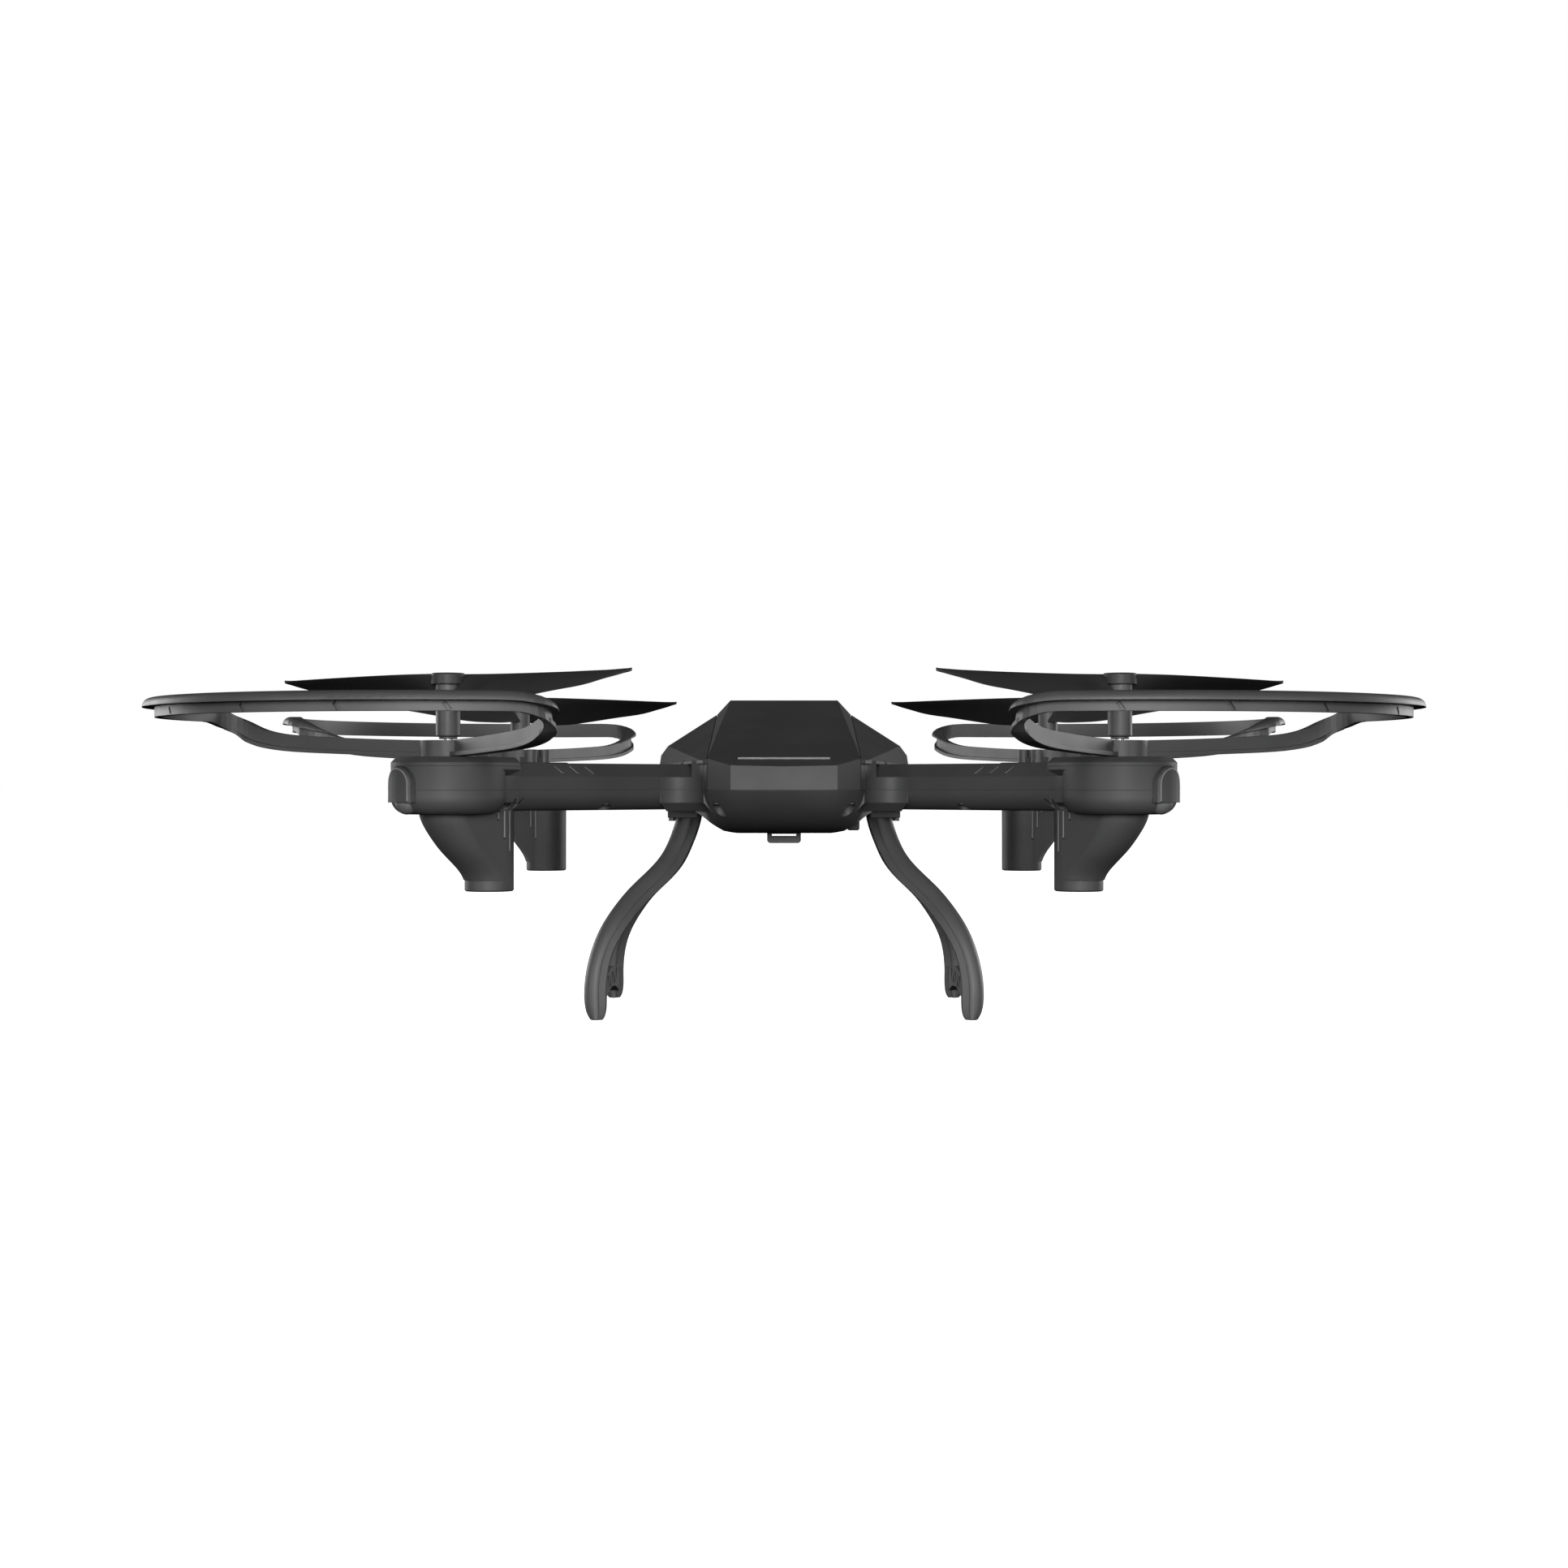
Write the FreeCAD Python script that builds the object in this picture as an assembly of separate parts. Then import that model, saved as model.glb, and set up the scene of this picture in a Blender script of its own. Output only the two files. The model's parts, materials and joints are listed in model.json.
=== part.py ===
import FreeCAD, Part
import math
import os

# Geared quadcopter.  Millimetres, +Z up, nose toward -Y, z = 0 under the skid feet,
# origin on the floor midway between the four propeller shafts.
V = FreeCAD.Vector
UP = V(0, 0, 1)
GAP = 0.3            # air between parts that move against each other
WALL = 1.3           # moulded wall thickness
FAR = 200.0          # longer than anything in the aircraft

# ---- plan layout of one corner (front left); the airframe is mirrored, the small parts are turned
SHAFT_XY = -72.8     # propeller shaft, x = y
MOTOR_XY = -64.85    # motor axis, x = y
OUTWARD_DEG = 225.0  # direction from the middle of the aircraft to the shaft
CORNERS = {"fl": (False, False), "fr": (True, False), "rl": (False, True), "rr": (True, True)}
CORNER_TURNS = {"fl": 0, "fr": 90, "rl": -90, "rr": 180}

# ---- heights
HULL_BOTTOM_Z = 43.5
PARTING_Z = 53.7
DECK_TOP_Z = 55.2
ARM_BOTTOM_Z = 49.1
ARM_SHOULDER_Z = 56.7
ARM_TOP_Z = 59.7
HOUSING_BOTTOM_Z = 48.5
COVER_BOTTOM_Z = 58.9
COVER_TOP_Z = 60.9
COLLAR_TOP_Z = 64.5
TUBE_BOTTOM_Z = 31.5
TOP_Z = 79.1
SLEEVE_RADIUS = 2.65
SLEEVE_TOP_Z = 76.7

# ---- body
NOSE_Y = -51.7
TAIL_Y = 55.0
RIDGE_Y = 10.0       # the roof is highest here
RIDGE_Z = 76.0
NOSE_ROOF_Z = 59.05
TAIL_ROOF_Z = 58.3
NOSE_BELLY_Y = -27.0  # the belly is flat between these two
TAIL_BELLY_Y = 31.0
HULL_ARC_Z = 59.7    # centre height of the ellipse under nose and tail
HULL_END_TAPER = 0.2  # how much narrower nose and tail get on the way down
NECK_HALF_X = 18.5   # side wall of the nose
WAIST_HALF_X = 21.0
WING_HALF_X = 30.8
ROOT_FILLET = 6.0
ROOT_BOTTOM_Z = 48.7
NECK_TOP_Z = 60.4

# ---- arms and gear housings
ARM_HALF_WIDTH = 6.0
ARM_RIDGE_INSET = 2.25
ARM_BOTTOM_FILLET = 4.0
HOUSING_RADIUS = 12.3
MOTOR_LOBE_RADIUS = 6.9
HOUSING_BLEND = 8.0  # plan radius between drum and arm
TUBE_RADIUS = 5.4

# ---- drive train
GEAR_MODULE = 0.5
GEAR_TEETH = 36
PINION_TEETH = 9
GEAR_Z = (55.0, 58.0)
PINION_Z = (54.7, 58.3)
SHAFT_RADIUS = 1.0
BEARING_RADIUS = 2.5
RUNNING_CLEARANCE = 0.05
MOTOR_RADIUS = 4.25
MOTOR_Z = (32.6, 52.6)

# ---- propeller stations: radius, leading edge offset, horizontal chord, trailing edge z
BLADE_ANGLE_DEG = -36.4
BLADE_LEAD_Z = (78.95, 78.6)
BLADE_THICKNESS = 0.9
BLADE_STATIONS = [
    (1.5, 2.6, 5.2, 72.2),
    (8.0, 4.3, 9.6, 71.9),
    (14.0, 4.7, 12.8, 71.8),
    (20.0, 4.5, 13.9, 71.9),
    (30.0, 3.6, 13.0, 73.1),
    (40.0, 2.2, 10.6, 74.6),
    (46.0, 1.2, 7.8, 75.7),
    (49.0, 0.6, 5.6, 76.7),
    (51.2, 0.1, 2.8, 77.6),
    (52.2, -0.3, 0.9, 78.3),
]

# ---- guard
GUARD_LIP_RADIUS = 64.3
GUARD_WEB_RADIUS = 61.7
GUARD_THICKNESS = 1.6
GUARD_ARM_DEG = 73.3
GUARD_RING_DEG = 62.0   # the ring proper ends here and turns down into its arm
GUARD_Z = (69.1, 71.2, 73.1)
GUARD_BEND_TOP = 7.0    # plan radius of the turn along its top edge
GUARD_BEND_LOW = 6.0    # and along its lower edge
GUARD_ARM_REACH = 50.0  # the turn ends here
# share of the way round the turn, low z, top z, size of the lip
GUARD_TURN = [
    (0.0, 69.1, 73.1, 1.0),
    (0.10, 69.1, 73.05, 1.0),
    (0.20, 68.95, 72.9, 1.0),
    (0.28, 68.6, 72.6, 0.98),
    (0.36, 68.1, 72.2, 0.94),
    (0.44, 67.6, 71.7, 0.86),
    (0.52, 67.0, 71.1, 0.75),
    (0.60, 66.2, 70.4, 0.6),
    (0.68, 65.4, 69.7, 0.45),
    (0.76, 64.8, 69.0, 0.32),
    (0.84, 64.2, 68.3, 0.22),
    (0.92, 63.7, 67.7, 0.15),
    (1.0, 63.35, 67.2, 0.1),
]
FLANGE_SHARE = 0.44     # the flange starts inside the web at this share of the turn
FLANGE_REACH = 1.0      # how far it ends up standing out from the web
FLANGE_Z = (-0.12, 0.8)  # its lower and upper side, measured from the web's lower edge

# ---- skids: front leg stations x, y, z and half thickness; the two legs meet near the top
SKID_STATIONS = [
    (-23.2, -4.6, 48.0, 2.9),
    (-23.7, -4.9, 45.5, 2.85),
    (-25.3, -6.8, 40.9, 2.75),
    (-26.8, -9.6, 37.6, 2.7),
    (-29.3, -13.4, 34.1, 2.65),
    (-35.0, -20.0, 28.4, 2.6),
    (-38.4, -24.2, 24.1, 2.6),
    (-41.4, -27.3, 19.1, 2.55),
    (-43.4, -29.2, 13.3, 2.5),
    (-44.2, -30.1, 6.6, 2.6),
    (-44.1, -30.2, 3.2, 2.5),
    (-43.95, -30.2, 1.2, 2.1),
    (-43.85, -30.2, 0.0, 1.5),
]
SKID_HALF_WIDTH = 3.1
SKID_PAD_TOP_Z = 48.4
SKID_PAD_BOTTOM_Z = 46.9
SOCKET_HALF_X = 28.2
SOCKET_HALF_Y = 10.0

# ---- belly door and switch
DOOR_HALF_X = 10.5
DOOR_FRONT_Y = -20.0
DOOR_HINGE_Y = 20.0
DOOR_THICKNESS = 1.3
SWITCH_X = 16.6
SWITCH_Y = -16.0
SWITCH_HALF_X = 1.45
SWITCH_LOW_Z = 43.95
SWITCH_TRAVEL = 2.0

# ---- screws
ARM_SCREW_XY = (-41.1, -46.3)
HULL_SCREW_XY = (-14.7, -43.6)
PAD_SCREW_XY = (27.2, 8.4)


def box(x0, x1, y0, y1, z0, z1):
    return Part.makeBox(x1 - x0, y1 - y0, z1 - z0, V(x0, y0, z0))


def cylinder(x, y, z0, z1, radius):
    return Part.makeCylinder(radius, z1 - z0, V(x, y, z0), UP)


def union(shapes):
    return shapes[0].multiFuse(shapes[1:])


def without(shape, tools):
    """The shape with each tool cut away in turn."""
    for tool in tools:
        shape = shape.cut(tool)
    return shape


def polygon_face(points):
    return Part.Face(Part.makePolygon(points + [points[0]]))


def inset_face(face, inset):
    """The same flat face with its boundary moved inward by inset."""
    if inset == 0:
        return face
    wire = face.OuterWire.makeOffset2D(-inset, 2)
    return Part.Face(wire)


def prism_x(points_yz, x0, x1, inset=0):
    face = inset_face(polygon_face([V(x0, y, z) for y, z in points_yz]), inset)
    return face.extrude(V(x1 - x0, 0, 0))


def prism_y(points_xz, y0, y1, inset=0):
    face = inset_face(polygon_face([V(x, y0, z) for x, z in points_xz]), inset)
    return face.extrude(V(0, y1 - y0, 0))


def prism_z(points_xy, z0, z1, inset=0):
    face = inset_face(polygon_face([V(x, y, z0) for x, y in points_xy]), inset)
    return face.extrude(V(0, 0, z1 - z0))


def trimmed(shape, point, normal, inset=0):
    """Cut away everything on the normal's side of the plane through point."""
    direction = V(normal)
    direction.normalize()
    block = Part.makeBox(2 * FAR, 2 * FAR, FAR, V(-FAR, -FAR, 0))
    block.Placement = FreeCAD.Placement(point - direction * inset, FreeCAD.Rotation(UP, direction))
    return shape.cut(block)


def mirror_x(shape):
    return shape.mirror(V(0, 0, 0), V(1, 0, 0))


def mirror_y(shape):
    return shape.mirror(V(0, 0, 0), V(0, 1, 0))


def at_corner(shape, corner):
    """The front-left shape carried to the named corner."""
    flip_x, flip_y = CORNERS[corner]
    if flip_x:
        shape = mirror_x(shape)
    if flip_y:
        shape = mirror_y(shape)
    return shape


def turned_to_corner(shape, corner):
    """The front-left shape turned about the vertical middle axis to the named corner."""
    turned = shape.copy()
    turned.rotate(V(0, 0, 0), UP, CORNER_TURNS[corner])
    return turned


def all_corners(shape):
    return [at_corner(shape, corner) for corner in CORNERS]


def placed(shape, x, y, degrees=0):
    """A shape built round the z axis, turned and moved to (x, y)."""
    turned = shape.copy()
    turned.rotate(V(0, 0, 0), UP, degrees)
    turned.translate(V(x, y, 0))
    return turned


def on_shaft(shape, degrees=OUTWARD_DEG):
    return placed(shape, SHAFT_XY, SHAFT_XY, degrees)


def on_motor(shape, degrees=OUTWARD_DEG):
    return placed(shape, MOTOR_XY, MOTOR_XY, degrees)


def teardrop(radius, lobe_radius, z0, z1):
    """Outline round shaft and motor, wide at the shaft, extruded from z0 to z1."""
    span = (MOTOR_XY - SHAFT_XY) * math.sqrt(2)
    sine = (radius - lobe_radius) / span
    cosine = math.sqrt(1 - sine * sine)
    wide = [V(radius * sine * -1, radius * cosine * s, z0) for s in (1, -1)]
    narrow = [V(-span - lobe_radius * sine, lobe_radius * cosine * s, z0) for s in (1, -1)]
    edges = [
        Part.Arc(wide[1], V(radius, 0, z0), wide[0]).toShape(),
        Part.makeLine(wide[0], narrow[0]),
        Part.Arc(narrow[0], V(-span - lobe_radius, 0, z0), narrow[1]).toShape(),
        Part.makeLine(narrow[1], wide[1]),
    ]
    face = Part.Face(Part.Wire(edges))
    return on_shaft(face.extrude(V(0, 0, z1 - z0)))


# ------------------------------------------------------------------ body outlines

def curve_edge(points):
    curve = Part.BSplineCurve()
    curve.interpolate(points)
    return curve.toShape()


HULL_SECTION = [
    (-10.9, HULL_BOTTOM_Z), (-14.0, 44.1), (-19.4, 47.5), (-WAIST_HALF_X, 48.4), (-WAIST_HALF_X, 70),
    (WAIST_HALF_X, 70), (WAIST_HALF_X, 48.4), (19.4, 47.5), (14.0, 44.1), (10.9, HULL_BOTTOM_Z),
]
HULL_NOSE = [(18.5, -40.0), (17.6, -44.4), (15.6, -47.2), (12.2, -50.5), (6.4, -51.4), (0, NOSE_Y)]
HULL_TAIL = [(18.5, 41.0), (17.6, 45.6), (15.5, 49.2), (12.4, 53.2), (6.4, 54.6), (0, TAIL_Y)]
HULL_WAIST = [(18.5, -27.0), (WAIST_HALF_X, -20.0), (WAIST_HALF_X, 20.0), (18.5, 27.0)]


def hull_outline(angle, inset):
    """Plan outline of the boat-shaped lower body where its end curves have turned by angle."""
    drop = HULL_ARC_Z - HULL_BOTTOM_Z
    start = math.asin((HULL_ARC_Z - PARTING_Z) / drop)
    share = math.cos(angle) / math.cos(start)
    depth = PARTING_Z - HULL_ARC_Z + drop * math.sin(angle)
    scale = 1 - inset / (PARTING_Z - HULL_BOTTOM_Z)
    z = PARTING_Z - depth * scale + (0.1 if inset else 0)

    def point(x, y, belly_y):
        x *= (1 - inset / NECK_HALF_X) * (1 - HULL_END_TAPER * (1 - share))
        y = belly_y + (y - belly_y) * share
        return V(x, y * (1 - inset / -NOSE_Y), z)

    def end(stations, belly_y):
        left = [point(-x, y, belly_y) for x, y in stations]
        right = [point(x, y, belly_y) for x, y in reversed(stations[:-1])]
        return curve_edge(left + right)

    edges = [end(HULL_NOSE, NOSE_BELLY_Y), end(HULL_TAIL, TAIL_BELLY_Y)]
    for sign in (-1, 1):
        first = point(sign * HULL_NOSE[0][0], HULL_NOSE[0][1], NOSE_BELLY_Y)
        last = point(sign * HULL_TAIL[0][0], HULL_TAIL[0][1], TAIL_BELLY_Y)
        waist = [V(sign * x * (1 - inset / WAIST_HALF_X), y, z) for x, y in HULL_WAIST]
        line = [first] + waist + [last]
        edges += [Part.makeLine(a, b) for a, b in zip(line, line[1:])]
    return Part.Wire(Part.__sortEdges__(edges))


def hull(inset):
    """Lower body: rounded nose and tail, slanted lower sides."""
    start = math.asin((HULL_ARC_Z - PARTING_Z) / (HULL_ARC_Z - HULL_BOTTOM_Z))
    angles = [start + (math.radians(88) - start) * i / 8 for i in range(9)]
    boat = Part.makeLoft([hull_outline(angle, inset) for angle in angles], True, False)
    return boat.common(prism_y(HULL_SECTION, -FAR, FAR, inset))


CANOPY_PLAN = [
    (0, NOSE_Y), (-12.1, -50.8), (-17.5, -45.0), (-16.7, RIDGE_Y), (-17.5, 46.0), (-12.3, 53.6), (0, TAIL_Y),
    (12.3, 53.6), (17.5, 46.0), (16.7, RIDGE_Y), (17.5, -45.0), (12.1, -50.8),
]
ROOF_PROFILE = [
    (NOSE_Y, 40.0), (NOSE_Y, NOSE_ROOF_Z), (RIDGE_Y, RIDGE_Z), (TAIL_Y, TAIL_ROOF_Z), (TAIL_Y, 40.0),
]


def plane_normal(a, b, c):
    """Upward unit normal of the plane through three points."""
    normal = (V(*b) - V(*a)).cross(V(*c) - V(*a))
    normal.normalize()
    return normal if normal.z > 0 else normal * -1


def canopy_block(inset, bottom):
    """Middle of the roof: faceted nose, two roof planes, narrow side facets."""
    block = prism_z(CANOPY_PLAN, bottom, 90, inset).common(prism_x(ROOF_PROFILE, -30, 30, inset))
    facets = [
        ((-17.5, -45.0, 60.9), (-13.4, 9.9, RIDGE_Z), (-16.7, 8.0, 72.0)),
        ((-17.5, 46.0, 61.85), (-13.4, 10.1, RIDGE_Z), (-16.7, 12.0, 72.0)),
    ]
    for facet in facets:
        normal = plane_normal(*facet)
        block = trimmed(block, V(*facet[0]), normal, inset)
        mirrored = V(-facet[0][0], facet[0][1], facet[0][2])
        block = trimmed(block, mirrored, V(-normal.x, normal.y, normal.z), inset)
    return block


def wing(inset):
    """Left shoulder beside the canopy; its upper faces fall outward and to both ends."""
    inner_x = -10.0 if inset else -16.0
    plan = [(inner_x, -43.5), (-17.7, -44.6), (-18.6, -43.8), (-WING_HALF_X + inset, 3.0),
            (-WING_HALF_X + inset, 15.0), (-18.6, 45.0), (-17.7, 45.8), (inner_x, 44.6)]
    block = prism_z(plan, ARM_TOP_Z + inset, 90)
    tops = [
        ((-17.5, -45.0, 60.9), (-16.7, 8.0, 72.0), (-28.6, 8.0, 64.4)),
        ((-17.5, 46.0, 61.85), (-16.7, 12.0, 72.0), (-28.6, 12.0, 64.4)),
        ((-28.6, 8.0, 64.4), (-30.8, 8.0, 61.4), (-18.5, -45.0, 60.3)),
        ((-28.6, 12.0, 64.4), (-30.8, 12.0, 61.4), (-18.5, 46.0, 61.2)),
    ]
    for top in tops:
        block = trimmed(block, V(*top[0]), plane_normal(*top), inset)
    return block


# ------------------------------------------------------------------ arms

def arm(inset):
    """Front-left arm bar from inside the body to the motor axis."""
    half = ARM_HALF_WIDTH - inset
    bottom = ARM_BOTTOM_Z + inset
    top = ARM_TOP_Z - inset
    fillet = ARM_BOTTOM_FILLET - inset
    ridge = ARM_HALF_WIDTH - ARM_RIDGE_INSET - 0.75 * inset
    diagonal = fillet * (1 - math.sqrt(0.5))
    start = 12.0
    length = -MOTOR_XY * math.sqrt(2) - start

    def point(side, z):
        return V(start, side, z)

    edges = [
        Part.makeLine(point(-(half - fillet), bottom), point(half - fillet, bottom)),
        Part.Arc(point(half - fillet, bottom), point(half - diagonal, bottom + diagonal),
                 point(half, bottom + fillet)).toShape(),
        Part.makeLine(point(half, bottom + fillet), point(half, ARM_SHOULDER_Z)),
        Part.makeLine(point(half, ARM_SHOULDER_Z), point(ridge, top)),
        Part.makeLine(point(ridge, top), point(-ridge, top)),
        Part.makeLine(point(-ridge, top), point(-half, ARM_SHOULDER_Z)),
        Part.makeLine(point(-half, ARM_SHOULDER_Z), point(-half, bottom + fillet)),
        Part.Arc(point(-half, bottom + fillet), point(-half + diagonal, bottom + diagonal),
                 point(-half + fillet, bottom)).toShape(),
    ]
    bar = Part.Face(Part.Wire(edges)).extrude(V(length, 0, 0))
    bar.rotate(V(0, 0, 0), UP, OUTWARD_DEG)
    return bar


def ridge_break():
    """Slanted gap that ends the ridge of the front-left arm just short of the body."""
    gap = prism_y([(33.2, ARM_TOP_Z + 1), (35.2, ARM_SHOULDER_Z), (33.2, ARM_SHOULDER_Z),
                   (31.9, ARM_TOP_Z + 1)], -8, 8)
    gap.rotate(V(0, 0, 0), UP, OUTWARD_DEG)
    return gap


def root_blend():
    """Plan fillet between the front-left arm's front side and the nose side wall."""
    side_line = -ARM_HALF_WIDTH * math.sqrt(2)
    centre = V(-NECK_HALF_X - ROOT_FILLET, -NECK_HALF_X - ROOT_FILLET + 2 * side_line, 0)
    corner_y = -NECK_HALF_X + side_line
    tangent = ROOT_FILLET * math.sqrt(0.5)
    plan = [(-12.0, corner_y + 8), (-12.0, centre.y), (-NECK_HALF_X, centre.y),
            (centre.x - tangent, centre.y + tangent), (-NECK_HALF_X - 4, corner_y + 4)]
    hollow = cylinder(centre.x, centre.y, 40, 70, ROOT_FILLET)
    low = prism_z(plan, ROOT_BOTTOM_Z, ARM_SHOULDER_Z).cut(hollow)
    rim = [e for e in low.Edges if e.BoundBox.ZMax < ROOT_BOTTOM_Z + 0.01]
    low = low.makeChamfer(2.0, [e for e in rim if e.Curve.TypeId == "Part::GeomCircle"])
    high = prism_z(plan, ARM_SHOULDER_Z, NECK_TOP_Z).cut(hollow)
    return union([low, high.common(box(-21.4, 0, -60, 0, 50, 70))])


def housing_outer():
    """Gear housing drum of the front-left corner with the motor lobe under its cover."""
    drum = cylinder(0, 0, HOUSING_BOTTOM_Z, COVER_BOTTOM_Z, HOUSING_RADIUS)
    rim = [e for e in drum.Edges if e.BoundBox.ZMax < HOUSING_BOTTOM_Z + 0.01]
    drum = on_shaft(drum.makeFillet(3.6, rim))
    lobe = teardrop(HOUSING_RADIUS, MOTOR_LOBE_RADIUS, 57.0, COVER_BOTTOM_Z)
    lobe = lobe.makeChamfer(1.2, [e for e in lobe.Edges if e.BoundBox.ZMax < 57.01])
    return union([drum, lobe] + housing_blends())


def housing_blends():
    """Upright concave fillets between the drum and both sides of the arm."""
    reach = HOUSING_RADIUS + HOUSING_BLEND
    side = ARM_HALF_WIDTH + HOUSING_BLEND
    along = math.sqrt(reach * reach - side * side)
    touch = HOUSING_RADIUS / reach
    blends = []
    for sign in (-1, 1):
        wedge = prism_z([(-along * touch, sign * side * touch), (-along, sign * ARM_HALF_WIDTH),
                         (-along, 0), (-4.0, 0)], 51.0, ARM_SHOULDER_Z + 0.2)
        blends.append(on_shaft(wedge.cut(cylinder(-along, sign * side, 40, 70, HOUSING_BLEND))))
    return blends


def housing_inner():
    drum = cylinder(0, 0, HOUSING_BOTTOM_Z + 1.2, 70, HOUSING_RADIUS - WALL - 0.1)
    lobe = cylinder(0, 0, HOUSING_BOTTOM_Z + 1.2, 70, ARM_HALF_WIDTH - WALL)
    return union([on_shaft(drum), on_motor(lobe)])


def skid_socket(inset):
    """Hollow shoulder on the left side between the arms; the skid bolts up under it."""
    x0, y1 = -SOCKET_HALF_X + inset, SOCKET_HALF_Y - inset
    block = box(x0, -16.0, -y1, y1, SKID_PAD_TOP_Z + inset, ARM_TOP_Z - (0 if inset == 0 else inset))
    corners = [e for e in block.Edges if e.BoundBox.ZLength > 5 and e.BoundBox.XMax < x0 + 0.01]
    return block.makeFillet(2.2 - inset, corners)


def screw_posts(z0, z1, radius):
    posts = []
    for x, y in (ARM_SCREW_XY, HULL_SCREW_XY):
        posts += all_corners(cylinder(x, y, z0, z1, radius))
    return posts


def frame_outer():
    """Everything both shells are cut from, without the wings and the canopy."""
    parts = [hull(0)]
    sides = prism_z(SIDE_PLAN, PARTING_Z, ARM_TOP_Z)
    parts += [sides, mirror_x(sides), skid_socket(0), mirror_x(skid_socket(0))]
    for corner in CORNERS:
        parts.append(at_corner(arm(0), corner))
        parts.append(at_corner(root_blend(), corner))
        parts.append(at_corner(housing_outer(), corner))
    return union(parts)


SIDE_PLAN = [
    (-12.0, -44.6), (-17.6, -44.6), (-18.5, -41.0), (-18.5, -27.0), (-WAIST_HALF_X, -20.0),
    (-WAIST_HALF_X, 20.0), (-18.5, 27.0), (-18.5, 44.0), (-17.6, 46.2), (-12.0, 46.2),
]


def frame_inner():
    """The hollow inside arms and housings."""
    parts = [skid_socket(WALL), mirror_x(skid_socket(WALL))]
    for corner in CORNERS:
        parts.append(at_corner(arm(WALL), corner))
        parts.append(at_corner(housing_inner(), corner))
    return union(parts)


def lower_shell(outer, inner):
    below = box(-FAR, FAR, -FAR, FAR, 0, PARTING_Z)
    low = outer.common(below)
    posts = union(screw_posts(40, PARTING_Z, 2.5)).common(low)
    seats = all_corners(on_shaft(cylinder(0, 0, 49.0, 52.3, 3.5)))
    shell = union([low.cut(hull(WALL)).cut(inner), posts] + seats).common(below)
    tools = all_corners(on_shaft(cylinder(0, 0, 49.8, 53, BEARING_RADIUS)))
    tools += all_corners(on_motor(cylinder(0, 0, 45, 60, MOTOR_RADIUS + 0.02)))
    tools += all_corners(underside_lines())
    tools += screw_posts(30, 51.6, 1.55) + screw_posts(50, 60, 0.8)
    tools.append(box(-DOOR_HALF_X - GAP, DOOR_HALF_X + GAP, DOOR_FRONT_Y - GAP,
                     DOOR_HINGE_Y + DOOR_THICKNESS / 2 + GAP, 40, 46))
    tools.append(box(SWITCH_X - SWITCH_HALF_X - GAP, SWITCH_X + SWITCH_HALF_X + GAP, SWITCH_Y - 2.0 - GAP,
                     SWITCH_Y + 2.0 + SWITCH_TRAVEL + GAP, 40, 49))
    tools += pad_screw_cylinders(SKID_PAD_TOP_Z - 1, SKID_PAD_TOP_Z + 1.3, 0.45)
    tools.append(box(-3.75, 3.75, 48, 60, 49.9, 52.7))
    return without(shell, tools)


def slanted_grooves(blank, lean_deg, first, pitch, aside, z):
    """Three copies of a small block leaned over and set in a row on the front side of the left arm."""
    cuts = []
    for step in range(3):
        groove = blank.copy()
        groove.rotate(V(0, 0, 0), V(0, 1, 0), lean_deg)
        groove.translate(V(first + pitch * step, -aside, z))
        groove.rotate(V(0, 0, 0), UP, 45)
        cuts.append(groove)
    return union(cuts)


def underside_lines():
    """Grooves on the rounded front underside of the arm beside the pod."""
    return slanted_grooves(box(-0.25, 0.25, -1.2, 1.2, -1.9, 1.9), 45, -92.6, 2.3, 5.3, 50.4)


def ridge_grooves():
    """Grooves in the front facet of the arm's ridge."""
    return slanted_grooves(box(-0.3, 0.3, -1.0, 1.0, -1.3, 1.3), -45, -75.9, 4.4, 5.2, 58.2)


def deck():
    """Floor under the canopy that ties both sides of the upper shell together."""
    plate = prism_z([(-15.6, -44.0), (-15.6, -36), (-19.5, -36), (-19.5, 38), (-15.6, 38), (-15.6, 44.6),
                     (15.6, 44.6), (15.6, 38), (19.5, 38), (19.5, -36), (15.6, -36), (15.6, -44.0)],
                    PARTING_Z, DECK_TOP_Z)
    return plate.cut(box(-9, 9, -12, 26, 50, 60))


def upper_shell(outer, inner, canopy):
    high = outer.common(box(-FAR, FAR, -FAR, FAR, PARTING_Z, FAR))
    side = wing(0).cut(wing(WALL).common(box(-40, -10, -32, 37, 50, 90)))
    shell = union([high.cut(inner), side, mirror_x(side)])
    shell = shell.cut(canopy_block(-0.15, PARTING_Z - 1)).cut(prism_z(CANOPY_PLAN, ARM_TOP_Z, 90, -0.15))
    posts = union(screw_posts(PARTING_Z, 58.2, 1.9)).common(outer).cut(canopy)
    shell = union([shell, deck().cut(inner), posts])
    tools = all_corners(ridge_break()) + all_corners(ridge_grooves())
    tools += all_corners(teardrop(HOUSING_RADIUS, MOTOR_LOBE_RADIUS, COVER_BOTTOM_Z, 70))
    tools += screw_posts(PARTING_Z - 1, 57.4, 0.8)
    return without(shell, tools)


def canopy_cover():
    shell = canopy_block(0, PARTING_Z).cut(canopy_block(WALL, PARTING_Z - 5))
    shell = shell.cut(box(-40, 40, -36, 38, 0, DECK_TOP_Z))
    return shell.cut(box(-10.5, 10.5, -45.6, -44.8, 50, 70))


def light_bar():
    bar = box(-10.5, 10.5, -45.6, -44.8, 58.6, 61.15)
    foot = box(-9.5, 9.5, -46.6, -43.8, 57.8, 58.7)
    return union([bar, foot])


# ------------------------------------------------------------------ motor pods and drive train

# pod height and how far its outline still reaches toward the propeller shaft
POD_STATIONS = [
    (50.2, 1.0), (48.3, 1.0), (44.7, 0.84), (41.2, 0.60), (38.2, 0.33), (35.8, 0.12), (34.0, 0.025),
]


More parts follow.
